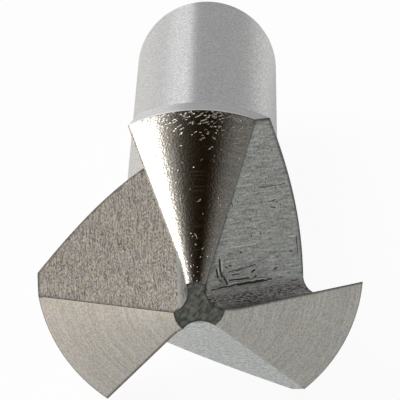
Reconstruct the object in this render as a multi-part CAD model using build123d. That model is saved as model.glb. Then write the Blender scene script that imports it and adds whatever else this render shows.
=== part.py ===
from build123d import *
from math import acos, asin, atan, atan2, cos, degrees, radians, sin, sqrt, tan
import os

# A three-flute countersink bit, in millimetres.
#
# It is made standing on its point: the point of the cone, carried on past the
# tip flat, is at z = 0, +Z runs up the axis to the shank end, and the first
# cutting edge lies along +X. Seen from the shank the bit turns clockwise, so
# each flute is on the -Y side of its cutting edge and each land on the +Y side.
# At the end it is laid down on its side, as it comes to rest on a flat surface.

# Blank
head_diameter = 20.5
point_angle = 90.0  # included angle of the cone
tip_flat_diameter = 3.3
margin_length = 2.07  # cylindrical band behind the cone
back_angle = 57.0  # between the cone behind the margin and the axis
shank_diameter = 10.0
shank_chamfer = 0.4
neck_fillet = 1.0  # where the cone behind the head meets the shank
overall_length = 63.0  # tip flat to shank end

# Flutes
flute_count = 3
web_half_thickness = 0.60  # axis to the floor of a flute, at the tip flat
floor_rise_angle = 23.9  # between the floor and the axis
floor_turn_angle = 9.7  # floor faces this far ahead of the cutting edge
lean_angle = 14.0  # the channel runs back under its cutting edge by this
root_radius = 1.13  # between the floor and the face under the cutting edge

# Lands
edge_offset = 0.105  # the cutting edge lies this far behind the centre
land_relief = 0.15  # each land's cone is this far off centre, to clear the work

# Derived sizes
head_radius = head_diameter / 2
tip_radius = tip_flat_diameter / 2
shank_radius = shank_diameter / 2
cone_slope = tan(radians(point_angle / 2))  # radius gained per mm of height
back_slope = tan(radians(back_angle))
tip_z = tip_radius / cone_slope
rim_z = head_radius / cone_slope
margin_z = rim_z + margin_length
neck_z = margin_z + (head_radius - shank_radius) / back_slope
end_z = tip_z + overall_length
rise = tan(radians(floor_rise_angle))
lean = tan(radians(lean_angle))
flute_step = 360 / flute_count
reach = 2 * head_diameter  # long enough for any cutter to pass right through


def revolved(*points):
    """The solid made by turning a closed outline of (radius, height) points."""
    outline = Plane.XZ * make_face(Polyline(*points, close=True))
    return revolve(outline, Axis.Z)


# The blank, turned in one outline from the tip flat to the shank end
blank = revolved(
    (0, tip_z),
    (tip_radius, tip_z),
    (head_radius, rim_z),
    (head_radius, margin_z),
    (shank_radius, neck_z),
    (shank_radius, end_z - shank_chamfer),
    (shank_radius - shank_chamfer, end_z),
    (0, end_z),
)
neck_edges = blank.edges().filter_by_position(
    Axis.Z, neck_z - 0.01, neck_z + 0.01
).filter_by(GeomType.CIRCLE)
blank = fillet(neck_edges, neck_fillet)

# One flute is an open channel with two flat sides, the floor and the face
# under the cutting edge, and a rounded root. Its direction rises off the axis
# with the floor and leans back under the edge.
turn = radians(-floor_turn_angle)
outward = Vector(cos(turn), sin(turn), 0)
sideways = Vector(-sin(turn), cos(turn), 0)
along = (outward * rise + sideways * lean + Vector(0, 0, 1)).normalized()
edge_line = Vector(cone_slope, 0, 1).normalized()

floor_normal = (outward - Vector(0, 0, rise)).normalized()
floor_point = outward * web_half_thickness + Vector(0, 0, tip_z)
face_normal = edge_line.cross(along).normalized()
if face_normal.Y > 0:
    face_normal = -face_normal
face_point = Vector(0, edge_offset, 0)

# The root line runs where the two planes meet; find its point level with the
# middle of the cone, from the three plane equations.
across = floor_normal.cross(face_normal)
level = Vector(0, 0, rim_z / 2)
root_point = (
    face_normal.cross(across) * floor_point.dot(floor_normal)
    + across.cross(floor_normal) * face_point.dot(face_normal)
    + floor_normal.cross(face_normal) * level.dot(across)
) * (1 / across.dot(across))

floor_side = along.cross(floor_normal)
if floor_side.dot(face_normal) < 0:
    floor_side = -floor_side
face_side = along.cross(face_normal)
if face_side.dot(floor_normal) < 0:
    face_side = -face_side
profile_plane = Plane(origin=root_point, x_dir=floor_side, z_dir=floor_side.cross(face_side))
opening_angle = floor_side.get_angle(face_side)
corner_x = reach * cos(radians(opening_angle))
corner_y = reach * sin(radians(opening_angle))
profile = make_face(
    Polyline((0, 0), (reach, 0), (reach + corner_x, corner_y), (corner_x, corner_y), close=True)
)
root_corner = profile.vertices().sort_by_distance((0, 0, 0))[0]
profile = fillet(root_corner, root_radius)
channel = extrude(profile_plane * profile, reach, both=True)

body = blank
for step in range(flute_count):
    body -= Rot(0, 0, step * flute_step) * channel

# Each land is ground to a cone set off centre, towards the flute its cutting
# edge opens on, so the surface falls away behind the edge. The cutter is what
# lies outside that cone, over an arc that ends in the flute on either side.
relief_start_z = tip_z / 2
relief_outline = make_face(
    Polyline(
        (relief_start_z * cone_slope, relief_start_z),
        (margin_z * cone_slope, margin_z),
        (reach, margin_z),
        (reach, relief_start_z),
        close=True,
    )
)
relief_cutter = Rot(0, 0, -flute_step / 4) * revolve(
    Plane.XZ * relief_outline, Axis.Z, revolution_arc=flute_step
)
relief_cutter = Pos(0, -land_relief, 0) * relief_cutter
for step in range(flute_count):
    body -= Rot(0, 0, step * flute_step) * relief_cutter


# The bit lies with one flute down, on the two corners beside that flute and on
# the shank end. Each of the two sides has a corner at the rim and one at the
# back of the margin, and the lower of them is the one that touches.
def face_corner(z):
    """Angle about the axis at which the face meets the margin at this height."""
    share = (face_point.dot(face_normal) - face_normal.Z * z) / head_radius
    share /= sqrt(face_normal.X**2 + face_normal.Y**2)
    return atan2(face_normal.Y, face_normal.X) + acos(share)


def floor_corner(z):
    """Angle about the axis at which the floor meets the margin at this height."""
    distance = web_half_thickness + rise * (z - tip_z)
    return turn - acos(distance / head_radius)


shank_edge_z = end_z - shank_chamfer
face_corners = [(face_corner(z), z) for z in (rim_z, margin_z)]
floor_corners = [(floor_corner(z), z) for z in (rim_z, margin_z)]
down = (face_corners[0][0] + floor_corners[0][0]) / 2
slope = 0.0
for attempt in range(20):

    def depth(corner):
        return head_radius * cos(corner[0] - down) + slope * corner[1]

    face_angle, face_z = max(face_corners, key=depth)
    floor_angle, floor_z = max(floor_corners, key=depth)
    half_gap = (face_angle - floor_angle) / 2
    shift = slope * (floor_z - face_z) / (2 * head_radius * sin(half_gap))
    down = (face_angle + floor_angle) / 2 + asin(shift)
    slope = (head_radius * cos(face_angle - down) - shank_radius) / (shank_edge_z - face_z)

tilt = atan(slope)
axis_height = depth((face_angle, face_z)) * cos(tilt)
body = Rot(0, 0, 90 - degrees(down)) * body
body = Pos(0, 0, axis_height) * Rot(-90 - degrees(tilt), 0, 0) * body
box = body.bounding_box()
body = Pos(-box.center().X, -box.center().Y, 0) * body

os.makedirs("parts", exist_ok=True)
export_step(body, "parts/countersink_bit.step")
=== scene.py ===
import math

import bmesh
import bpy
from bpy.props import (
    FloatProperty,
    FloatVectorProperty,
    IntProperty,
    PointerProperty,
)
from mathutils import Matrix, Vector


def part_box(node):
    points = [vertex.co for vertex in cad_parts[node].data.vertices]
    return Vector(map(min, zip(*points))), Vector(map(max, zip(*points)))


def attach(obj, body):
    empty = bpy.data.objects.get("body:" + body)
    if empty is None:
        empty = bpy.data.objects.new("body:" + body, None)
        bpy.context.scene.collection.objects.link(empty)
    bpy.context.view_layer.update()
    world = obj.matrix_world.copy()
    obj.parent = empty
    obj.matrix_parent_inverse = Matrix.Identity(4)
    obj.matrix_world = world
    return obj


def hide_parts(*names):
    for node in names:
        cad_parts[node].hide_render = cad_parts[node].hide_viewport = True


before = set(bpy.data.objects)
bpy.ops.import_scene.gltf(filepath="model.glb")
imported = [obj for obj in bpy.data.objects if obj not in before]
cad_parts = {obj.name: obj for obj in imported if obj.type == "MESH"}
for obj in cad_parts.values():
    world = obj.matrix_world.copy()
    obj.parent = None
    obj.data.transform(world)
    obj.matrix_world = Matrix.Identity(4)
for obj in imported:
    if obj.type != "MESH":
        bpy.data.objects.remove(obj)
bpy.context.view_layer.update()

bl_info = {
    "name": "Countersink Bit",
    "version": (1, 0, 0),
    "blender": (4, 5, 0),
    "location": "3D View > Sidebar > Countersink",
    "description": "Turns, grinds and finishes a countersink bit with three flutes",
    "category": "Add Mesh",
}

NODE = "countersink_bit"
BIT = "ground_bit"

# The surfaces of the bit, in the order of their material slots
SHANK, END, NECK, MARGIN, LAND, TIP, FLOOR, FINE, WORN, ROOT, FACE, BAND = range(12)
FLOORS = (FLOOR, FINE, WORN)

THROUGH = 2  # a wheel's reach in head diameters, which takes it through the bit
FILLET_STEPS = 8  # rings of the neck fillet
ROOT_STEPS = 24  # strips of a flute's root
WELD = 1e-6  # points nearer than this are one
HONED_ANGLE = math.radians(20)  # edges that turn by more than this are honed

GRAIN_MAP = "Grinding"
FLUTE_GAP = 0.05  # between the map of one flute and the next
SLICES = 300  # steps per metre through the steel, so that no two sides are alike
SWING = 3  # stretches noise, which mostly stays within a third of its range
MICRONS = 10  # the depth that a height of 1 stands for
SCRATCH_REACH = 0.35  # half a scratch's length, as a share of the cell it is in
SCRATCH_STRENGTH = (0.4, 1.1)  # of the faintest scratch and the boldest
# The line beside an edge is painted shade, or on a land's heel a painted highlight
EDGE_TURN = (0.996, 0.975)  # cosines between which the line beside an edge fades in
CHATTER_WANDER = 0.00015  # how far a chatter mark wanders from its line
CHATTER_DEPTH = 12  # in microns

# Nicks on a land: turn to the grinding lines, length, width, and how crowded
LAND_NICKS = (
    (0.9, 0.00055, 0.0001, 1.0),
    (-0.6, 0.0004, 0.00009, 1.0),
    (0.3, 0.00012, 0.0001, 1.6),
    (2.4, 0.0002, 0.00008, 1.3),
)

WHITE = (1, 1, 1, 1)
FLOOR_REACH = 4  # half the floor's side
FLOOR_GLOW = 0.94  # how much of the floor's white is its own, and holds no shadow
# Beside the bit the floor shows in the steel with painted light and shade
FLOOR_NEAR = (0.08, 0.045)  # distances between which its plain tone fades in
# Painted light and painted shade: the floor's tone as the steel shows it, on the lamp's
# side and on the other
FLOOR_LIT_AND_SHADED_TONES = ((0.9, 0.86, 0.81, 1), (0.54, 0.555, 0.55, 1))
STUDIO_GLOW = (-0.36, -0.19, 0.915)  # towards the left lamp
STUDIO_DARK = Vector((0.08, -0.19, 0.98))  # towards the dark overhead
# Degrees from the dark, and the studio's colour there
STUDIO_TONES = (
    (0, (0.0045, 0.002, 0.0004)),
    (2, (0.013, 0.0065, 0.0016)),
    (4, (0.025, 0.0135, 0.004)),
    (6, (0.05, 0.036, 0.021)),
    (9, (0.14, 0.13, 0.116)),
    (11, (0.215, 0.206, 0.192)),
    (14, (0.29, 0.285, 0.275)),
    (18, (0.36, 0.36, 0.355)),
    (30, (0.41, 0.41, 0.41)),
    (60, (0.43, 0.43, 0.43)),
    (90, (0.43, 0.43, 0.43)),
)
# Name, place, aimed at, width and height, watts, colour
LAMPS = (
    ("left_softbox", (-0.67, -0.15, 0.735), (0, -0.02, 0.01), (0.85, 0.77), 8.4,
     (1.0, 0.965, 0.925)),
    ("back_softbox", (-0.49, 1.17, 0.30), (0, 0, 0.01), (0.8, 0.5), 0.72,
     (1.0, 1.0, 1.0)),
)
CAMERA_PLACE = (0.002538104, -0.326542419, 0.115376601)
CAMERA_RIGHT = Vector((0.99991989, 0.0106622, 0.00682209))
CAMERA_AHEAD = Vector((-0.0079259, 0.94761546, -0.31931508))


# ---- sizes and colours


class BitSizes(bpy.types.PropertyGroup):
    """Sizes of the bit, standing on its point with the axis upright."""

    head_diameter: FloatProperty(
        name="Head Diameter", description="Across the cylindrical band behind the cone",
        default=0.0205, unit="LENGTH",
    )
    point_angle: FloatProperty(
        name="Point Angle", description="Included angle of the cutting cone",
        default=math.radians(90), subtype="ANGLE",
    )
    tip_diameter: FloatProperty(
        name="Tip Flat", description="Across the small flat that closes the cone",
        default=0.0033, unit="LENGTH",
    )
    margin_length: FloatProperty(
        name="Margin", description="Length of the cylindrical band behind the cone",
        default=0.00207, unit="LENGTH",
    )
    back_angle: FloatProperty(
        name="Back Angle",
        description="Between the cone behind the margin and the axis",
        default=math.radians(57), subtype="ANGLE",
    )
    shank_diameter: FloatProperty(
        name="Shank Diameter", description="Across the plain shank", default=0.01,
        unit="LENGTH",
    )
    shank_chamfer: FloatProperty(
        name="Shank Chamfer", description="Chamfer at the end of the shank",
        default=0.0004, unit="LENGTH",
    )
    neck_radius: FloatProperty(
        name="Neck Radius",
        description="Fillet between the back of the head and the shank", default=0.001,
        unit="LENGTH",
    )
    length: FloatProperty(
        name="Length", description="From the tip flat to the shank end", default=0.063,
        unit="LENGTH",
    )
    flutes: IntProperty(
        name="Flutes", description="Number of flutes, and of lands between them",
        default=3, min=1, max=5,
    )
    web: FloatProperty(
        name="Half Web",
        description="From the axis to the floor of a flute, at the tip flat",
        default=0.0006, unit="LENGTH",
    )
    floor_rise: FloatProperty(
        name="Floor Rise", description="Between the floor of a flute and the axis",
        default=math.radians(23.9), subtype="ANGLE",
    )
    floor_turn: FloatProperty(
        name="Floor Turn",
        description="How far the floor faces ahead of the cutting edge",
        default=math.radians(9.7), subtype="ANGLE",
    )
    lean: FloatProperty(
        name="Lean", description="How far the flute runs back under its cutting edge",
        default=math.radians(14), subtype="ANGLE",
    )
    root_radius: FloatProperty(
        name="Root Radius",
        description="Between the floor and the face under the cutting edge",
        default=0.00113, unit="LENGTH",
    )
    edge_offset: FloatProperty(
        name="Edge Offset",
        description="How far the cutting edge lies behind the centre", default=0.000105,
        unit="LENGTH",
    )
    relief: FloatProperty(
        name="Land Relief", description="How far off centre each land is ground",
        default=0.00015, unit="LENGTH",
    )
    honing: FloatProperty(
        name="Honing",
        description="Width of the band that takes the keenness off each edge",
        default=0.00002, unit="LENGTH",
    )
    roll: FloatProperty(
        name="Roll",
        description="Which way round the bit lies, from its first cutting edge",
        default=-0.579975861, subtype="ANGLE",
    )
    tilt: FloatProperty(
        name="Tilt", description="How far the axis drops towards the shank end",
        default=0.06501544, subtype="ANGLE",
    )
    segments: IntProperty(
        name="Segments", description="Sides of the turned surfaces", default=192,
        min=48, max=360,
    )


class BitFinish(bpy.types.PropertyGroup):
    """Colours and marks of the ground steel."""

    shank_colour: FloatVectorProperty(
        name="Shank", description="Colour of the satin shank",
        default=(0.60, 0.605, 0.605), subtype="COLOR", min=0, max=1,
    )
    margin_colour: FloatVectorProperty(
        name="Margin", description="Colour of the band behind the cone",
        default=(0.68, 0.685, 0.68), subtype="COLOR", min=0, max=1,
    )
    land_colour: FloatVectorProperty(
        name="Lands", description="Colour of the lands behind the cutting edges",
        default=(0.55, 0.522, 0.482), subtype="COLOR", min=0, max=1,
    )
    flute_colour: FloatVectorProperty(
        name="Flutes", description="Colour of the ground floors of the flutes",
        default=(0.342, 0.314, 0.28), subtype="COLOR", min=0, max=1,
    )
    # Paler than the other floors: painted light, for the brighter light this floor
    # catches
    fine_painted_light_colour: FloatVectorProperty(
        name="Fine Flute",
        description="Colour of the floor that was ground with a fresh wheel",
        default=(0.72, 0.725, 0.705), subtype="COLOR", min=0, max=1,
    )
    worn_colour: FloatVectorProperty(
        name="Worn Flute",
        description="Colour of the floor that was ground with a worn wheel",
        default=(0.395, 0.40, 0.38), subtype="COLOR", min=0, max=1,
    )
    # The flute that takes the paler colour, which is painted light
    fine_flute: IntProperty(
        name="Fine Flute Number",
        description="Which flute was ground with a fresh wheel", default=0, min=0,
    )
    worn_flute: IntProperty(
        name="Worn Flute Number",
        description="Which flute was ground with a worn wheel, which chattered",
        default=2, min=0,
    )
    # Dark: painted shade, a line of shade along each edge
    band_shade_colour: FloatVectorProperty(
        name="Honed Edges",
        description="Colour of the narrow band that takes the keenness off each edge",
        default=(0.13, 0.13, 0.125), subtype="COLOR", min=0, max=1,
    )
    # Darker than the floors: painted shade in the crease of each root
    root_shade_colour: FloatVectorProperty(
        name="Roots", description="Colour of the rounded roots of the flutes",
        default=(0.27, 0.26, 0.25), subtype="COLOR", min=0, max=1,
    )
    # Dark: painted shade, for the dark studio front that the flat reflects
    tip_shade_colour: FloatVectorProperty(
        name="Tip Flat", description="Colour of the small flat at the tip",
        default=(0.145, 0.15, 0.133), subtype="COLOR", min=0, max=1,
    )


class BitStage(bpy.types.PropertyGroup):
    """The floor, lamps and camera round the bit."""

    floor_colour: FloatVectorProperty(
        name="Floor", description="Colour of the floor", default=(0.9, 0.9, 0.9),
        subtype="COLOR", min=0, max=1,
    )
    lens: FloatProperty(
        name="Lens", description="Focal length of the camera", default=0.46325,
        unit="LENGTH",
    )


# ---- shapes


def rim_height(sizes):
    """Height of the rim above the point of the cone."""
    return sizes.head_diameter / 2 / math.tan(sizes.point_angle / 2)


def neck_ring(sizes):
    """Radius and height of the ring that the neck fillet's middle lies on."""
    head, shank = sizes.head_diameter / 2, sizes.shank_diameter / 2
    corner = rim_height(sizes) + sizes.margin_length
    corner += (head - shank) / math.tan(sizes.back_angle)
    radius = sizes.neck_radius
    return shank + radius, corner + radius * math.tan(sizes.back_angle / 2)


class Flute:
    """Planes and directions of one flute, from the sizes and its number."""

    def __init__(self, sizes, number):
        slope = math.tan(sizes.point_angle / 2)
        tip_height = sizes.tip_diameter / 2 / slope
        rise = math.tan(sizes.floor_rise)
        turn = -sizes.floor_turn
        outward = Vector((math.cos(turn), math.sin(turn), 0))
        sideways = Vector((-math.sin(turn), math.cos(turn), 0))
        up = Vector((0, 0, 1))
        along = (outward * rise + sideways * math.tan(sizes.lean) + up).normalized()
        edge = Vector((slope, 0, 1)).normalized()
        floor = (outward - up * rise).normalized()
        face = edge.cross(along).normalized()
        if face.y > 0:
            face.negate()
        floor_at = outward * sizes.web + up * tip_height
        face_at = Vector((0, sizes.edge_offset, 0))
        across = floor.cross(face)
        level = up * (rim_height(sizes) / 2)
        root = (
            face.cross(across) * floor_at.dot(floor)
            + across.cross(floor) * face_at.dot(face)
            + floor.cross(face) * level.dot(across)
        ) / across.dot(across)
        floor_side = along.cross(floor)
        if floor_side.dot(face) < 0:
            floor_side.negate()
        face_side = along.cross(face)
        if face_side.dot(floor) < 0:
            face_side.negate()
        opening = floor_side.angle(face_side)
        middle = (floor_side + face_side).normalized()
        centre = root + middle * (sizes.root_radius / math.sin(opening / 2))

        spin = Matrix.Rotation(number * math.tau / sizes.flutes, 3, "Z")
        self.along = spin @ along
        self.floor = spin @ floor
        self.face = spin @ face
        self.root = spin @ root
        self.floor_side = spin @ floor_side
        self.face_side = spin @ face_side
        self.centre = spin @ centre
        self.opening = opening
        self.radius = sizes.root_radius
        self.setback = sizes.root_radius / math.tan(opening / 2)


def make_mesh(name, bm):
    """A mesh from bm, with a material slot for each surface of the bit."""
    bmesh.ops.recalc_face_normals(bm, faces=bm.faces)
    mesh = bpy.data.meshes.new(name)
    bm.to_mesh(mesh)
    bm.free()
    for finish in FINISHES:
        mesh.materials.append(finish_material(finish))
    return mesh


def turned_blank(sizes):
    """The blank, turned in one outline from the tip flat to the shank end."""
    slope = math.tan(sizes.point_angle / 2)
    tip = sizes.tip_diameter / 2
    head = sizes.head_diameter / 2
    shank = sizes.shank_diameter / 2
    end_height = tip / slope + sizes.length
    # Radius, height, and the surface that runs from there to the next
    outline = [
        (tip, tip / slope, LAND),
        (head, rim_height(sizes), MARGIN),
        (head, rim_height(sizes) + sizes.margin_length, NECK),
    ]
    ring, ring_height = neck_ring(sizes)
    for step in range(FILLET_STEPS + 1):
        angle = sizes.back_angle * (1 - step / FILLET_STEPS)
        out = ring - sizes.neck_radius * math.cos(angle)
        height = ring_height - sizes.neck_radius * math.sin(angle)
        outline.append((out, height, NECK if step < FILLET_STEPS else SHANK))
    outline.append((shank, end_height - sizes.shank_chamfer, END))
    outline.append((shank - sizes.shank_chamfer, end_height, END))

    bm = bmesh.new()
    rings = []
    for out, height, _ in outline:
        ring = []
        for n in range(sizes.segments):
            angle = math.tau * n / sizes.segments
            place = (out * math.cos(angle), out * math.sin(angle), height)
            ring.append(bm.verts.new(place))
        rings.append(ring)
    for (low, high), (_, _, surface) in zip(zip(rings, rings[1:]), outline):
        for n in range(sizes.segments):
            m = (n + 1) % sizes.segments
            bm.faces.new((low[n], low[m], high[m], high[n])).material_index = surface
    bm.faces.new(rings[0]).material_index = TIP
    bm.faces.new(rings[-1]).material_index = END
    return make_mesh("blank", bm)


def flute_wheel(sizes, number, surface):
    """The space one flute is ground from: a bar with a rounded root, its floor
    finished as surface."""
    flute = Flute(sizes, number)
    reach = THROUGH * sizes.head_diameter
    across, beside = flute.floor_side, flute.face_side
    # Each corner has the surface that runs from it to the next
    corners = [(flute.root + across * reach, surface)]
    start = flute.root + across * flute.setback - flute.centre
    axis = start.cross(flute.root - flute.centre)
    for step in range(ROOT_STEPS + 1):
        angle = (math.pi - flute.opening) * step / ROOT_STEPS
        turned = Matrix.Rotation(angle, 3, axis) @ start
        corners.append((flute.centre + turned, ROOT if step < ROOT_STEPS else FACE))
    corners.append((flute.root + beside * reach, FLOOR))
    corners.append((flute.root + (across + beside) * reach, FLOOR))
    bm = bmesh.new()
    near = [bm.verts.new(place - flute.along * reach) for place, _ in corners]
    far = [bm.verts.new(place + flute.along * reach) for place, _ in corners]
    for n, (_, side) in enumerate(corners):
        m = (n + 1) % len(corners)
        bm.faces.new((near[n], near[m], far[m], far[n])).material_index = side
    bm.faces.new(near)
    bm.faces.new(far)
    return make_mesh("flute_wheel", bm)


def relief_wheel(sizes, number):
    """What lies outside the cone that one land is ground to."""
    reach = THROUGH * sizes.head_diameter
    slope = math.tan(sizes.point_angle / 2)
    low = sizes.tip_diameter / 4 / slope
    high = rim_height(sizes) + sizes.margin_length
    outline = [(low * slope, low), (high * slope, high), (reach, high), (reach, low)]
    arc = math.tau / sizes.flutes
    steps = max(2, sizes.segments // sizes.flutes)
    turn = Matrix.Rotation(number * arc, 3, "Z")
    off = Vector((0, -sizes.relief, 0))
    bm = bmesh.new()
    rings = []
    for n in range(steps + 1):
        angle = arc * n / steps - arc / 4
        ring = []
        for out, height in outline:
            place = Vector((out * math.cos(angle), out * math.sin(angle), height))
            ring.append(bm.verts.new(turn @ (place + off)))
        rings.append(ring)
    for one, two in zip(rings, rings[1:]):
        for n in range(len(outline)):
            m = (n + 1) % len(outline)
            bm.faces.new((one[n], one[m], two[m], two[n])).material_index = LAND
    bm.faces.new(rings[0])
    bm.faces.new(rings[-1])
    return make_mesh("relief_wheel", bm)


def the_bit():
    """The bit as it stands, which turning the blank makes."""
    bit = bpy.data.objects.get(BIT)
    if bit is None:
        raise RuntimeError("There is no bit yet: turn the blank first")
    return bit


def keep_result(bit):
    """Makes what the modifiers show the bit's own mesh."""
    graph = bpy.context.evaluated_depsgraph_get()
    mesh = bpy.data.meshes.new_from_object(bit.evaluated_get(graph), depsgraph=graph)
    bit.modifiers.clear()
    old = bit.data
    bit.data = mesh
    bpy.data.meshes.remove(old)


def cut(bit, mesh):
    """Takes the space that mesh fills away from the bit."""
    wheel = bpy.data.objects.new(mesh.name, mesh)
    wheel.matrix_world = bit.matrix_world
    bpy.context.scene.collection.objects.link(wheel)
    boolean = bit.modifiers.new("grind", "BOOLEAN")
    boolean.operation = "DIFFERENCE"
    boolean.solver = "EXACT"
    boolean.object = wheel
    keep_result(bit)
    bpy.data.objects.remove(wheel)
    bpy.data.meshes.remove(mesh)
    if not bit.data.polygons:
        raise RuntimeError("Nothing is left of the bit after the cut")


# ---- materials


class Nodes:
    """Adds shader nodes to a material and joins them up."""

    def __init__(self, material):
        material.use_nodes = True
        self.tree = material.node_tree
        self.tree.nodes.clear()

    def add(self, kind, inputs=None, **settings):
        """A new node. Each of its inputs is the output of a node, or a plain value."""
        node = self.tree.nodes.new("ShaderNode" + kind)
        for name, value in settings.items():
            setattr(node, name, value)
        for name, value in (inputs or {}).items():
            socket = node.inputs[name]
            if isinstance(value, bpy.types.NodeSocket):
                self.tree.links.new(value, socket)
            else:
                socket.default_value = value
        return node

    def maths(self, operation, *values):
        return self.add("Math", dict(enumerate(values)), operation=operation).outputs[0]

    def vector(self, operation, *values, output="Vector"):
        inputs = dict(enumerate(values))
        return self.add("VectorMath", inputs, operation=operation).outputs[output]

    def measure(self, operation, *values):
        """The number, such as a distance, that the operation makes of vectors."""
        return self.vector(operation, *values, output="Value")

    def parts(self, vector):
        return self.add("SeparateXYZ", {0: vector}).outputs

    def noise(self, place, detail=2.0, roughness=0.5, scale=1.0):
        look = {"Scale": scale, "Detail": detail, "Roughness": roughness}
        return self.add("TexNoise", {"Vector": place, **look}).outputs["Fac"]

    def between(self, value, low, high, to_low=0.0, to_high=1.0):
        """value as it runs from low to high, made to run from to_low to to_high."""
        ends = {"From Min": low, "From Max": high, "To Min": to_low, "To Max": to_high}
        return self.add("MapRange", {"Value": value, **ends}).outputs["Result"]

    def mixed(self, share, one, two, blend="MIX"):
        inputs = {0: share, 6: one, 7: two}
        return self.add("Mix", inputs, data_type="RGBA", blend_type=blend).outputs[2]


def shade(colour, share):
    """colour made lighter or darker by share."""
    return (*(min(1.0, part * share) for part in colour), 1.0)


# Marks of the worn wheel, in millimetres along the grinding lines and up from
# the root: two for the start, two for the end, half the width, and if it is dark.
# The dark ones are gouges; the light ones are painted highlights along them.
CHATTER = (
    (-1.1, 1.75, -1.0, 1.15, 0.2, True),
    (-1.0, 1.15, -0.75, 0.75, 0.17, True),
    (-1.55, 1.15, -1.35, 0.75, 0.18, True),
    (-0.8, 1.65, -0.72, 1.1, 0.15, False),
    (-1.3, 1.3, -1.2, 0.9, 0.1, False),
    (-0.25, 1.3, 0.1, 1.2, 0.05, True),
    (-1.2, 0.55, -0.7, 0.4, 0.06, True),
    (-2.0, 1.7, -2.05, 1.1, 0.05, True),
    (-1.75, 1.9, -1.8, 1.3, 0.05, True),
    (-0.5, 0.7, -0.05, 0.3, 0.16, True),
    (-0.3, 0.75, 0.1, 0.45, 0.06, False),
    (-2.4, 0.02, 1.5, 0.1, 0.06, True),
    (1.5, 0.1, 5.4, 0.09, 0.13, True),
    (5.4, 0.09, 6.6, 0.1, 0.06, True),
    (0.3, 0.24, 5.6, 0.24, 0.06, False),
    (1.0, -0.04, 6.0, -0.04, 0.04, False),
    (0.3, 0.42, 3.2, 0.4, 0.06, True),
    (0.5, 0.58, 2.6, 0.56, 0.04, False),
    (0.1, 0.95, 4.2, 1.15, 0.03, True),
    (0.2, 0.83, 3.0, 0.95, 0.05, False),
    (0.7, 0.72, 1.9, 0.75, 0.04, True),
    (3.6, 0.76, 4.1, 0.8, 0.08, True),
    (3.9, 0.4, 4.3, 0.42, 0.07, True),
    (7.0, 0.7, 7.4, 0.74, 0.07, True),
    (7.2, 0.35, 8.8, 0.4, 0.05, False),
    (0.5, 2.45, 4.3, 2.45, 0.06, False),
    (0.4, 2.62, 4.6, 2.64, 0.04, False),
    (9.4, 2.55, 10.3, 2.57, 0.07, False),
    (10.45, 2.45, 10.6, 1.6, 0.08, True),
    (10.6, 1.6, 10.7, 1.1, 0.05, True),
    (6.6, 4.6, 7.3, 4.55, 0.05, True),
    (6.3, 4.95, 7.3, 5.05, 0.03, True),
    (4.9, 5.9, 8.8, 5.95, 0.028, True),
    (0.5, 6.1, 3.9, 6.15, 0.05, False),
    (2.4, 6.7, 3.4, 6.75, 0.06, False),
    (0.7, 5.2, 0.9, 5.0, 0.06, True),
    (4.9, 3.2, 5.0, 3.0, 0.06, True),
    (1.9, 2.1, 2.2, 2.05, 0.06, True),
    (9.4, 1.66, 9.7, 1.66, 0.06, True),
    (0.2, 1.34, 0.6, 1.3, 0.06, True),
)


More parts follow.
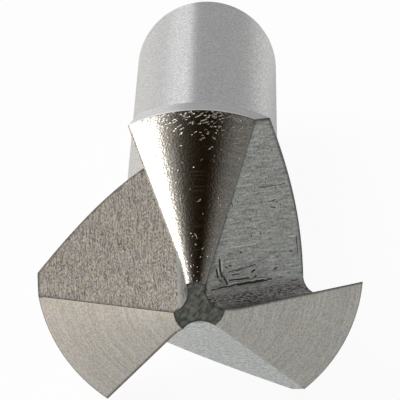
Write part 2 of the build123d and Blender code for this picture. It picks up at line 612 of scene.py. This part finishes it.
class Steel(Nodes):
    """A ground steel, made up stroke by stroke. U runs with the grinding lines."""

    tone = height = light = dark = fade = None

    def __init__(self, material, colour):
        super().__init__(material)
        self.colour = colour
        self.spot = self.add("TexCoord").outputs["Object"]
        flat = self.add("UVMap", uv_map=GRAIN_MAP).outputs["UV"]
        depth = self.measure("DOT_PRODUCT", self.spot, (1, 1, 1))
        third = self.add("CombineXYZ", {"Z": depth}).outputs["Vector"]
        self.place = self.vector("ADD", flat, third)

    def summed(self, total, part):
        return part if total is None else self.maths("ADD", total, part)

    def worked(self, noise, share, depth):
        """Adds noise: its share of the colour's contrast, and its depth in microns."""
        swing = self.maths("SUBTRACT", noise, 0.5)
        self.tone = self.summed(self.tone, self.maths("MULTIPLY", swing, share * SWING))
        low = self.maths("MULTIPLY", swing, depth / MICRONS)
        self.height = self.summed(self.height, low)

    def sunk(self, mark, depth):
        """Lowers the steel under a mark, by a depth in microns."""
        low = self.maths("MULTIPLY", mark, depth / MICRONS)
        self.height = self.maths("SUBTRACT", self.height, low)

    def marked(self, mark, dark):
        """Adds a mark, from 0 to 1, to the dark ones or the light ones."""
        kind = "dark" if dark else "light"
        marks = getattr(self, kind)
        if marks is not None:
            mark = self.maths("MAXIMUM", marks, mark)
        setattr(self, kind, mark)

    def strokes(self, length, pitch, share, depth, detail=2.0):
        """Grinding lines of that length, a pitch apart."""
        vector = self.vector("MULTIPLY", self.place, (1 / length, 1 / pitch, SLICES))
        self.worked(self.noise(vector, detail, 0.6), share, depth)

    def speckle(self, size, share, depth):
        """Spots of that size, alike in all directions."""
        self.worked(self.noise(self.spot, 2.0, 0.55, 1 / size), share, depth)

    def scratches(
        self, turn, length, width, share, dark=False, strength=1.0, depth=4.0
    ):
        """Straight scratches at turn to the grinding lines, in a share of the cells."""
        inputs = {"Vector": self.place, "Angle": turn}
        turned = self.add("VectorRotate", inputs, rotation_type="Z_AXIS").outputs[0]
        steps = (2 * SCRATCH_REACH / length, 2 * SCRATCH_REACH / width, 0)
        inputs = {"Vector": self.vector("MULTIPLY", turned, steps), "Scale": 1.0}
        cells = self.add("TexVoronoi", inputs, voronoi_dimensions="2D").outputs
        random = self.parts(cells["Color"])
        picked = self.maths("LESS_THAN", random["X"], share)
        bold = self.between(random["Y"], 0, 1, *SCRATCH_STRENGTH)
        picked = self.maths("MULTIPLY", picked, bold)
        inside = self.between(cells["Distance"], SCRATCH_REACH, SCRATCH_REACH * 0.5)
        scratch = self.maths("MULTIPLY", picked, inside)
        self.sunk(scratch, depth)
        self.marked(self.maths("MULTIPLY", scratch, strength), dark)

    def edge(self, width):
        """1 beside an edge and 0 away from it."""
        rounded = self.add("Bevel", {"Radius": width}, samples=4).outputs["Normal"]
        plain = self.add("NewGeometry").outputs["Normal"]
        return self.between(self.measure("DOT_PRODUCT", rounded, plain), *EDGE_TURN)

    def on_map(self):
        """Place along the grinding lines, and across them: on a flute from the
        edge of its root, and on a turned surface along the axis."""
        parts = self.parts(self.place)
        return parts["X"], self.maths("WRAP", parts["Y"], FLUTE_GAP / 2, -FLUTE_GAP / 2)

    def chatter(self):
        """Gouges and lines left where the wheel chattered, each from start to end.
        The light lines are painted highlights along the gouges.
        """
        along, across = self.on_map()
        wander = self.maths("SUBTRACT", self.noise(self.place, 1.0, 0.6, 900.0), 0.5)
        wander = self.maths("MULTIPLY", wander, CHATTER_WANDER)
        across = self.maths("ADD", across, wander)
        here = self.add("CombineXYZ", {"X": along, "Y": across}).outputs["Vector"]
        for *ends, width, dark in CHATTER:
            start, end = Vector((*ends[:2], 0)) / 1000, Vector((*ends[2:], 0)) / 1000
            ahead = (end - start).normalized()
            offset = self.vector("SUBTRACT", here, start)
            run = self.maths("MAXIMUM", self.measure("DOT_PRODUCT", offset, ahead), 0.0)
            run = self.maths("MINIMUM", run, (end - start).length)
            inputs = {0: ahead, "Scale": run}
            nearest = self.add("VectorMath", inputs, operation="SCALE")
            away = self.measure("DISTANCE", offset, nearest.outputs["Vector"])
            mark = self.between(away, width / 1000, width / 3000)
            self.marked(mark, dark)
            self.sunk(mark, CHATTER_DEPTH)

    def polished(
        self, contrast, rough, anisotropy, stain=0.03, light=(1.3, 0.5), dark=(0.4, 0.6)
    ):
        """Joins the strokes to the shader. rough runs from the light strokes to the
        dark, and light and dark give each kind of mark a share of the colour and a
        roughness."""
        tone = self.maths("ADD", self.tone, 0.5)
        low, high = shade(self.colour, 1 - contrast), shade(self.colour, 1 + contrast)
        base = self.mixed(self.between(tone, 0, 1), low, high)
        if self.fade is not None:
            base = self.mixed(self.fade[0], base, self.fade[1])
        if stain:
            warm = (1 + stain, 1.0, 1 - 1.6 * stain, 1.0)
            cool = (1 - stain, 1.0, 1 + 1.2 * stain, 1.0)
            patches = self.between(self.noise(self.spot, 2.0, 0.6, 1400.0), 0.35, 0.65)
            base = self.mixed(1.0, base, self.mixed(patches, warm, cool), "MULTIPLY")
        roughness = self.between(tone, 0, 1, rough[1], rough[0])
        for marks, (share, rougher) in ((self.light, light), (self.dark, dark)):
            if marks is not None:
                base = self.mixed(marks, base, shade(self.colour, share))
                roughness = self.add(
                    "Mix", {0: marks, 2: roughness, 3: rougher}, data_type="FLOAT"
                ).outputs[0]
        bump = self.add("Bump", {"Distance": MICRONS / 1e6, "Height": self.height})
        tangent = self.add("Tangent", direction_type="UV_MAP", uv_map=GRAIN_MAP)
        shader = self.add(
            "BsdfPrincipled",
            {
                "Base Color": base,
                "Metallic": 1.0,
                "Roughness": roughness,
                "Anisotropic": anisotropy,
                "Anisotropic Rotation": 0.25,
                "Normal": bump.outputs["Normal"],
                "Tangent": tangent.outputs["Tangent"],
            },
        )
        self.add("OutputMaterial", {"Surface": shader.outputs["BSDF"]})


def shank_finish(material, finish):
    """Satin shank, ground between centres, with a few handling marks."""
    steel = Steel(material, finish.shank_colour)
    steel.strokes(length=0.003, pitch=0.0001, share=0.4, depth=0.8)
    steel.speckle(size=0.00016, share=1.9, depth=2.6)
    steel.scratches(0.12, length=0.0011, width=0.00008, share=0.01)
    steel.scratches(-0.35, length=0.0007, width=0.00008, share=0.01)
    steel.scratches(1.4, length=0.0002, width=0.00014, share=0.025)
    steel.scratches(0.6, length=0.0002, width=0.00015, share=0.004, dark=True)
    steel.polished(
        0.18, (0.17, 0.26), 0.4, stain=0.0, light=(1.5, 0.4), dark=(0.6, 0.5)
    )


def end_finish(material, finish):
    """Faced and chamfered shank end."""
    steel = Steel(material, finish.shank_colour)
    steel.strokes(length=0.006, pitch=0.00012, share=0.8, depth=4.0)
    steel.speckle(size=0.00015, share=0.4, depth=2.0)
    steel.polished(0.2, (0.3, 0.42), 0.5, stain=0.0)


def neck_finish(material, finish):
    """Turned back of the head."""
    steel = Steel(material, finish.shank_colour)
    steel.strokes(length=0.006, pitch=0.00016, share=0.9, depth=5.0)
    steel.speckle(size=0.00015, share=0.5, depth=3.0)
    steel.polished(0.2, (0.3, 0.44), 0.4, stain=0.0)


def margin_finish(material, finish):
    """Ground band behind the cone, with a painted highlight along the rim."""
    steel = Steel(material, finish.margin_colour)
    steel.strokes(length=0.004, pitch=0.0001, share=0.6, depth=1.5)
    steel.speckle(size=0.00015, share=0.7, depth=3.0)
    rim_highlight = rim_height(bpy.context.scene.bit_sizes) + 0.0003
    height = steel.on_map()[1]
    # A painted highlight: a light line along the rim
    steel.marked(steel.between(height, rim_highlight + 0.0001, rim_highlight - 0.0001), False)
    steel.polished(0.14, (0.24, 0.34), 0.5, stain=0.0, light=(1.45, 0.3))


def land_finish(material, finish):
    """Fine ground land behind a cutting edge, nicked from handling, most of all
    at the rim."""
    steel = Steel(material, finish.land_colour)
    steel.strokes(length=0.006, pitch=0.0003, share=0.35, depth=1.8)
    steel.strokes(length=0.003, pitch=0.00008, share=0.3, depth=1.0)
    steel.speckle(size=0.00013, share=0.9, depth=7.0)
    around, out = steel.parts(steel.place)[:2]
    crowd = steel.between(out, 0.0122, 0.0142, 0.008, 0.16)
    for turn, length, width, more in LAND_NICKS:
        share = steel.maths("MULTIPLY", crowd, more)
        steel.scratches(turn, length, width, share, depth=11.0)
    steel.scratches(
        0.0, length=0.0015, width=0.00006, share=0.1, strength=0.3, depth=0.4
    )
    steel.scratches(
        0.5, length=0.0003, width=0.00012, share=0.008, dark=True, strength=0.3
    )
    # Painted shade, darker and rougher, along the cutting edge and the rim, and a
    # painted highlight along the heel
    edge = steel.edge(0.00025)
    turn = steel.maths("WRAP", around, 0.0107, -0.0036)
    heel = steel.maths("GREATER_THAN", turn, 0.0034)
    heel = steel.maths("MULTIPLY", heel, steel.between(out, 0.0142, 0.0140))
    steel.marked(steel.maths("MULTIPLY", edge, heel), False)
    rest = steel.maths("SUBTRACT", 1.0, heel)
    steel.marked(steel.maths("MULTIPLY", edge, rest), True)
    steel.polished(
        0.24, (0.07, 0.12), 0.4, stain=0.02, light=(1.25, 0.4), dark=(0.2, 0.5)
    )


def tip_finish(material, finish):
    """Flat at the tip, its dark colour painted shade for the dark it reflects."""
    steel = Steel(material, finish.tip_shade_colour)
    steel.strokes(length=0.0008, pitch=0.00012, share=0.5, depth=3.0)
    steel.speckle(size=0.0003, share=0.7, depth=4.0)
    # Painted shade along the flat's edges
    steel.marked(steel.edge(0.00025), True)
    steel.polished(0.5, (0.35, 0.5), 0.0)


def floor_finish(material, finish):
    """Coarse ground floor of a flute."""
    steel = Steel(material, finish.flute_colour)
    steel.strokes(length=0.0002, pitch=0.00008, share=1.2, depth=7.0, detail=3.0)
    steel.strokes(length=0.0011, pitch=0.0001, share=0.6, depth=4.0)
    steel.scratches(0.02, length=0.0003, width=0.00009, share=0.16, strength=0.8)
    pits = steel.between(steel.on_map()[0], 0.004, -0.002, 0.02, 0.14)
    steel.scratches(-0.4, length=0.0002, width=0.00014, share=pits)
    steel.scratches(0.3, length=0.0002, width=0.00016, share=0.015, dark=True)
    # Painted shade along the floor's edges
    steel.marked(steel.edge(0.0004), True)
    steel.polished(0.65, (0.34, 0.5), 0.3, light=(2.1, 0.36), dark=(0.2, 0.6))


def worn_floor_finish(material, finish):
    """Floor of the flute that was ground with a worn wheel, which chattered."""
    steel = Steel(material, finish.worn_colour)
    steel.strokes(length=0.00024, pitch=0.00013, share=0.7, depth=6.0, detail=3.0)
    steel.strokes(length=0.002, pitch=0.00013, share=0.55, depth=4.0)
    steel.scratches(0.03, length=0.0018, width=0.00009, share=0.03, strength=0.6)
    steel.scratches(-0.08, length=0.0009, width=0.0001, share=0.02, strength=0.6)
    steel.scratches(0.5, length=0.00022, width=0.00014, share=0.015, dark=True)
    crowd = steel.between(steel.on_map()[1], 0.0035, 0.0005, 0.0, 0.16)
    steel.scratches(
        0.02, length=0.002, width=0.00009, share=crowd, dark=True, strength=0.5
    )
    steel.scratches(0.0, length=0.0015, width=0.00009, share=crowd, strength=0.6)
    steel.chatter()
    # Painted shade along the floor's edges
    steel.marked(steel.edge(0.0006), True)
    steel.polished(
        0.4, (0.36, 0.48), 0.3, stain=0.01, light=(1.7, 0.4), dark=(0.1, 0.6)
    )


def fine_floor_finish(material, finish):
    """Floor of the flute that was ground with a freshly dressed wheel; its paler colour
    is painted light.
    """
    steel = Steel(material, finish.fine_painted_light_colour)
    steel.strokes(length=0.0005, pitch=0.0001, share=1.2, depth=3.0)
    steel.speckle(size=0.00015, share=0.8, depth=3.0)
    steel.scratches(
        0.05, length=0.001, width=0.00008, share=0.02, dark=True, strength=0.6
    )
    steel.polished(0.3, (0.3, 0.38), 0.3, stain=0.01, dark=(0.6, 0.4))


def root_finish(material, finish):
    """Root of a flute, darker from the floor inwards: painted shade in the crease."""
    steel = Steel(material, finish.root_shade_colour)
    steel.strokes(length=0.0006, pitch=0.00005, share=2.0, depth=8.0)
    steel.strokes(length=0.0003, pitch=0.00007, share=1.2, depth=5.0)
    steel.scratches(0.02, length=0.0018, width=0.0001, share=0.12, dark=True)
    steel.scratches(-0.02, length=0.001, width=0.0001, share=0.04)
    # Painted shade: the floor's tone gives way to the darker root colour deeper in the
    # crease
    crease_shade_fade = steel.between(steel.on_map()[1], -0.0007, 0, 0, 0.9)
    steel.fade = (crease_shade_fade, shade(finish.worn_colour, 1))
    steel.polished(
        0.85, (0.38, 0.52), 0.3, stain=0.02, light=(2.2, 0.45), dark=(0.25, 0.6)
    )


def face_finish(material, finish):
    """Fine ground face under a cutting edge."""
    steel = Steel(material, finish.flute_colour)
    steel.strokes(length=0.003, pitch=0.0001, share=0.8, depth=4.0)
    steel.strokes(length=0.0004, pitch=0.0001, share=0.5, depth=3.0)
    steel.polished(0.3, (0.3, 0.42), 0.4, stain=0.02)


def band_finish(material, finish):
    """Honed band along an edge, painted dark as a line of shade."""
    steel = Steel(material, finish.band_shade_colour)
    steel.speckle(size=0.0002, share=0.8, depth=2.0)
    steel.polished(0.3, (0.4, 0.5), 0.0)


# In the order of the surfaces at the top
FINISHES = {
    "shank_steel": shank_finish,
    "end_steel": end_finish,
    "neck_steel": neck_finish,
    "margin_steel": margin_finish,
    "land_steel": land_finish,
    "tip_steel": tip_finish,
    "flute_floor_steel": floor_finish,
    "fine_floor_steel": fine_floor_finish,
    "worn_floor_steel": worn_floor_finish,
    "flute_root_steel": root_finish,
    "flute_face_steel": face_finish,
    "honed_steel": band_finish,
}


def finish_material(name):
    """The material of that name, made the first time it is asked for."""
    material = bpy.data.materials.get(name)
    if material is None:
        material = bpy.data.materials.new(name)
        FINISHES[name](material, bpy.context.scene.bit_finish)
    return material


# ---- grinding lines


class Grain:
    """Normals of the true surfaces, and a map whose U runs with the grinding lines."""

    def __init__(self, sizes):
        self.sizes = sizes
        self.flutes = [Flute(sizes, number) for number in range(sizes.flutes)]
        self.arc = math.tau / sizes.flutes
        self.ring, self.ring_height = neck_ring(sizes)

    def flute_of(self, face):
        """The flute that a floor, root or face belongs to, if it is one of these."""

        def likeness(flute):
            ways = {FACE: flute.face, ROOT: flute.floor + flute.face}
            return ways.get(face.material_index, flute.floor).dot(face.normal)

        if face.material_index in (*FLOORS, FACE, ROOT):
            return max(self.flutes, key=likeness)
        return None

    def in_flute(self, flute, surface, place):
        """Normal and map of a place on a flute."""
        offset = place - flute.root
        along = offset.dot(flute.along)
        shift = FLUTE_GAP * self.flutes.index(flute)
        if surface in FLOORS:
            across = shift + offset.dot(flute.floor_side) - flute.setback
            return flute.floor, (along, across)
        if surface == FACE:
            return flute.face, (along, shift - offset.dot(flute.face_side))
        inward = flute.centre - place
        normal = (inward - flute.along * inward.dot(flute.along)).normalized()
        turned = normal.cross(flute.floor).dot(flute.along)
        turn = math.atan2(turned, normal.dot(flute.floor))
        return normal, (along, shift - abs(turn) * flute.radius)

    def turned(self, face, place):
        """Normal and map of a place outside the flutes."""
        sizes = self.sizes
        surface = face.material_index
        up = Vector((0, 0, 1))
        radial = Vector((place.x, place.y, 0))
        radius = radial.length
        radial = radial.normalized() if radius > WELD else Vector((1, 0, 0))
        # The angle about the axis, on the same turn as the middle of the face
        middle = math.atan2(face.center.y, face.center.x)
        angle = math.atan2(place.y, place.x)
        angle -= math.tau * round((angle - middle) / math.tau)
        if surface == LAND:
            half = sizes.point_angle / 2
            number = math.floor((middle + self.arc / 4) / self.arc)
            spin = Matrix.Rotation(number * self.arc, 3, "Z")
            off = spin @ Vector((0, -sizes.relief, 0))
            radial = Vector((place.x - off.x, place.y - off.y, 0)).normalized()
            normal = radial * math.cos(half) - up * math.sin(half)
            return normal, (angle * sizes.head_diameter / 3, radius / math.sin(half))
        if surface in (SHANK, MARGIN):
            return radial, (angle * radius, place.z)
        if surface == NECK:
            back = sizes.back_angle
            normal = radial * math.cos(back) + up * math.sin(back)
            out, rise = self.ring - radius, self.ring_height - place.z
            if rise < sizes.neck_radius * math.sin(back) - 1e-7:
                normal = (radial * out + up * rise).normalized()
            return normal, (angle * radius, place.z)
        if surface == END:
            flat = face.normal.z >= 0.99
            normal = face.normal if flat else (radial + up).normalized()
            return normal, (angle * sizes.shank_diameter / 3, radius)
        return face.normal, (place.x, place.y)

    def lay(self, mesh):
        """Gives the mesh its normals and its map."""
        layer = mesh.uv_layers.new(name=GRAIN_MAP)
        normals = [None] * len(mesh.loops)
        shared = {}
        for face in mesh.polygons:
            face.use_smooth = True
            surface = face.material_index
            flute = self.flute_of(face)
            for index in face.loop_indices:
                vertex = mesh.loops[index].vertex_index
                place = mesh.vertices[vertex].co
                if flute is None:
                    normal, grain = self.turned(face, place)
                else:
                    normal, grain = self.in_flute(flute, surface, place)
                layer.uv[index].vector = grain
                normals[index] = normal
                if surface != BAND:
                    shared.setdefault(vertex, []).append(normal)
        # A honed band turns from the surface on one side to that on the other
        for face in mesh.polygons:
            if face.material_index == BAND:
                for index in face.loop_indices:
                    beside = shared.get(mesh.loops[index].vertex_index)
                    if beside:
                        normals[index] = sum(beside, Vector()).normalized()
        mesh.normals_split_custom_set(normals)


# ---- stage


def floor_paint(colour):
    """Pale paint, which shows white and keeps the bit's shadow."""
    material = bpy.data.materials.new("floor_paint")
    nodes = Nodes(material)
    path = nodes.add("LightPath").outputs
    shiny = nodes.maths("MAXIMUM", path["Is Glossy Ray"], path["Is Transmission Ray"])
    # In the steel the floor shows beside the bit with painted light towards the lamp
    # and painted shade away from it
    spot = nodes.add("TexCoord").outputs["Object"]
    away = nodes.measure("LENGTH", spot)
    near = nodes.between(away, *FLOOR_NEAR, 0.27, 1.0)
    across = nodes.between(nodes.parts(spot)["X"], -0.018, 0.0)
    pale = nodes.mixed(across, *FLOOR_LIT_AND_SHADED_TONES)
    pale = nodes.mixed(near, WHITE, pale)
    pale = nodes.mixed(shiny, WHITE, pale)
    seen = nodes.maths("MULTIPLY", shiny, near)
    seen = nodes.maths("MAXIMUM", path["Is Camera Ray"], seen)
    paint = nodes.add("BsdfDiffuse", {"Color": (*colour, 1)})
    glow = nodes.add("Emission", {"Color": pale})
    share = nodes.maths("MULTIPLY", seen, FLOOR_GLOW)
    mix = nodes.add("MixShader", {0: share, 1: paint.outputs[0], 2: glow.outputs[0]})
    nodes.add("OutputMaterial", {"Surface": mix.outputs[0]})
    return material


def lay_floor(scene):
    """A plain floor under the bit."""
    bm = bmesh.new()
    bmesh.ops.create_grid(bm, x_segments=1, y_segments=1, size=FLOOR_REACH)
    mesh = bpy.data.meshes.new("floor")
    bm.to_mesh(mesh)
    bm.free()
    mesh.materials.append(floor_paint(scene.bit_stage.floor_colour))
    floor = bpy.data.objects.new("floor", mesh)
    scene.collection.objects.link(floor)


def hang_studio(scene):
    """The studio round the bit, grey all round and dark overhead."""
    world = bpy.data.worlds.new("studio")
    scene.world = world
    nodes = Nodes(world)
    path = nodes.add("LightPath").outputs
    share = nodes.maths("MAXIMUM", path["Is Camera Ray"], path["Is Transmission Ray"])
    sky = nodes.add("TexCoord").outputs["Generated"]
    side = nodes.parts(sky)
    # The dark is drawn out towards the left
    shift = nodes.between(side["X"], 0.08, -0.3, 0, 0.152)
    shift = nodes.add("CombineXYZ", {"X": shift}).outputs["Vector"]
    seen = nodes.vector("NORMALIZE", nodes.vector("ADD", sky, shift))
    angle = nodes.measure("DOT_PRODUCT", seen, STUDIO_DARK.normalized())
    angle = nodes.maths("ARCCOSINE", angle)
    ramp = nodes.add("ValToRGB", {"Fac": nodes.maths("DIVIDE", angle, math.pi / 2)})
    stops = ramp.color_ramp.elements
    while len(stops) < len(STUDIO_TONES):
        stops.new(0.5)
    for stop, (degrees, colour) in zip(stops, STUDIO_TONES):
        stop.position = degrees / 90
        stop.color = (*colour, 1)
    right = nodes.between(side["X"], 0.3, 0.8, 1.0, 0.4)
    front = nodes.between(side["Y"], 0.0, -0.5, 1.0, 0.35)
    strength = nodes.maths("MULTIPLY", right, front)
    # A glow fills in beside the left lamp
    lit = nodes.measure("DISTANCE", sky, STUDIO_GLOW)
    strength = nodes.maths("ADD", strength, nodes.between(lit, 0.2, 0.06, 0.0, 2.2))
    tone = ramp.outputs["Color"]
    dim = nodes.add("Background", {"Color": tone, "Strength": strength})
    white = nodes.add("Background", {"Color": WHITE})
    mix = nodes.add("MixShader", {0: share, 1: dim.outputs[0], 2: white.outputs[0]})
    nodes.add("OutputWorld", {"Surface": mix.outputs[0]})


def hang_lamp(scene, name, place, aim, size, watts, colour):
    """A soft box."""
    light = bpy.data.lights.new(name, "AREA")
    light.shape = "RECTANGLE"
    light.size, light.size_y = size
    light.energy = watts
    light.color = colour
    lamp = bpy.data.objects.new(name, light)
    lamp.location = place
    lamp.rotation_mode = "QUATERNION"
    lamp.rotation_quaternion = (Vector(aim) - Vector(place)).to_track_quat("-Z", "Y")
    lamp.visible_camera = False
    scene.collection.objects.link(lamp)


def place_camera(scene):
    """A camera that looks at the cutting end from a little above."""
    data = bpy.data.cameras.new("camera")
    data.sensor_width = 36
    data.lens = scene.bit_stage.lens * 1000
    data.clip_start = 0.01
    camera = bpy.data.objects.new("camera", data)
    above = CAMERA_RIGHT.cross(CAMERA_AHEAD)
    turn = Matrix((CAMERA_RIGHT, above, -CAMERA_AHEAD)).transposed().to_4x4()
    camera.matrix_world = Matrix.Translation(CAMERA_PLACE) @ turn
    scene.collection.objects.link(camera)
    scene.camera = camera


# ---- operators


class BIT_OT_turn_blank(bpy.types.Operator):
    """Turn the blank: shank, neck, margin and cone in one outline"""

    bl_idname = "bit.turn_blank"
    bl_label = "Turn Blank"

    def execute(self, context):
        bit = bpy.data.objects.new(BIT, turned_blank(context.scene.bit_sizes))
        context.scene.collection.objects.link(bit)
        return {"FINISHED"}


class BIT_OT_grind_flutes(bpy.types.Operator):
    """Grind the flutes, each with a flat floor, a rounded root and a face"""

    bl_idname = "bit.grind_flutes"
    bl_label = "Grind Flutes"

    def execute(self, context):
        sizes = context.scene.bit_sizes
        finish = context.scene.bit_finish
        kinds = {finish.fine_flute: FINE, finish.worn_flute: WORN}
        for number in range(sizes.flutes):
            wheel = flute_wheel(sizes, number, kinds.get(number, FLOOR))
            cut(the_bit(), wheel)
        return {"FINISHED"}


class BIT_OT_relieve_lands(bpy.types.Operator):
    """Relieve the lands, so that they fall away behind the cutting edges"""

    bl_idname = "bit.relieve_lands"
    bl_label = "Relieve Lands"

    def execute(self, context):
        sizes = context.scene.bit_sizes
        for number in range(sizes.flutes):
            cut(the_bit(), relief_wheel(sizes, number))
        return {"FINISHED"}


class BIT_OT_hone_edges(bpy.types.Operator):
    """Take the keenness off each edge with a narrow band"""

    bl_idname = "bit.hone_edges"
    bl_label = "Hone Edges"

    def execute(self, context):
        bit = the_bit()
        bm = bmesh.new()
        bm.from_mesh(bit.data)
        bmesh.ops.remove_doubles(bm, verts=bm.verts, dist=WELD)
        bmesh.ops.dissolve_degenerate(bm, edges=bm.edges, dist=WELD)
        bm.to_mesh(bit.data)
        bm.free()
        bevel = bit.modifiers.new("hone", "BEVEL")
        bevel.width = context.scene.bit_sizes.honing
        bevel.segments = 1
        bevel.limit_method = "ANGLE"
        bevel.angle_limit = HONED_ANGLE
        bevel.material = BAND
        keep_result(bit)
        return {"FINISHED"}


class BIT_OT_finish_surfaces(bpy.types.Operator):
    """Run the grinding lines and the smooth shading over each surface"""

    bl_idname = "bit.finish_surfaces"
    bl_label = "Finish Surfaces"

    def execute(self, context):
        Grain(context.scene.bit_sizes).lay(the_bit().data)
        return {"FINISHED"}


class BIT_OT_lay_down(bpy.types.Operator):
    """Lay the bit on its side, where the CAD body lies"""

    bl_idname = "bit.lay_down"
    bl_label = "Lay Down"

    def execute(self, context):
        sizes = context.scene.bit_sizes
        bit = the_bit()
        roll = Matrix.Rotation(math.pi / 2 - sizes.roll, 4, "Z")
        bit.data.transform(Matrix.Rotation(-math.pi / 2 - sizes.tilt, 4, "X") @ roll)
        places = [vertex.co for vertex in bit.data.vertices]
        low = Vector(min(place[n] for place in places) for n in range(3))
        high = Vector(max(place[n] for place in places) for n in range(3))
        node_low, node_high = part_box(NODE)
        move = (node_low + node_high - low - high) / 2
        move.z = node_low.z - low.z
        bit.data.transform(Matrix.Translation(move))
        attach(bit, "root")
        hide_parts(NODE)
        return {"FINISHED"}


class BIT_OT_set_stage(bpy.types.Operator):
    """Put a pale floor, soft lamps and the camera round the bit"""

    bl_idname = "bit.set_stage"
    bl_label = "Set Stage"

    def execute(self, context):
        scene = context.scene
        lay_floor(scene)
        hang_studio(scene)
        for lamp in LAMPS:
            hang_lamp(scene, *lamp)
        place_camera(scene)
        scene.view_settings.view_transform = "Standard"
        return {"FINISHED"}


class BIT_PT_panel(bpy.types.Panel):
    """Lists the steps and the sizes in the sidebar"""

    bl_label = "Countersink Bit"
    bl_idname = "BIT_PT_panel"
    bl_space_type = "VIEW_3D"
    bl_region_type = "UI"
    bl_category = "Countersink"

    def draw(self, context):
        layout = self.layout
        for operator in OPERATORS:
            layout.operator(operator.bl_idname)
        for group in ("bit_sizes", "bit_finish", "bit_stage"):
            box = layout.box()
            settings = getattr(context.scene, group)
            for name in settings.__annotations__:
                box.prop(settings, name)


GROUPS = (BitSizes, BitFinish, BitStage)
OPERATORS = (
    BIT_OT_turn_blank,
    BIT_OT_grind_flutes,
    BIT_OT_relieve_lands,
    BIT_OT_hone_edges,
    BIT_OT_finish_surfaces,
    BIT_OT_lay_down,
    BIT_OT_set_stage,
)


def register():
    for item in (*GROUPS, *OPERATORS, BIT_PT_panel):
        bpy.utils.register_class(item)
    bpy.types.Scene.bit_sizes = PointerProperty(type=BitSizes)
    bpy.types.Scene.bit_finish = PointerProperty(type=BitFinish)
    bpy.types.Scene.bit_stage = PointerProperty(type=BitStage)


def unregister():
    del bpy.types.Scene.bit_stage
    del bpy.types.Scene.bit_finish
    del bpy.types.Scene.bit_sizes
    for item in reversed((*GROUPS, *OPERATORS, BIT_PT_panel)):
        bpy.utils.unregister_class(item)


def main():
    """Makes the bit and its stage."""
    register()
    bpy.ops.bit.turn_blank()
    bpy.ops.bit.grind_flutes()
    bpy.ops.bit.relieve_lands()
    bpy.ops.bit.hone_edges()
    bpy.ops.bit.finish_surfaces()
    bpy.ops.bit.lay_down()
    bpy.ops.bit.set_stage()


if __name__ == "__main__":
    main()
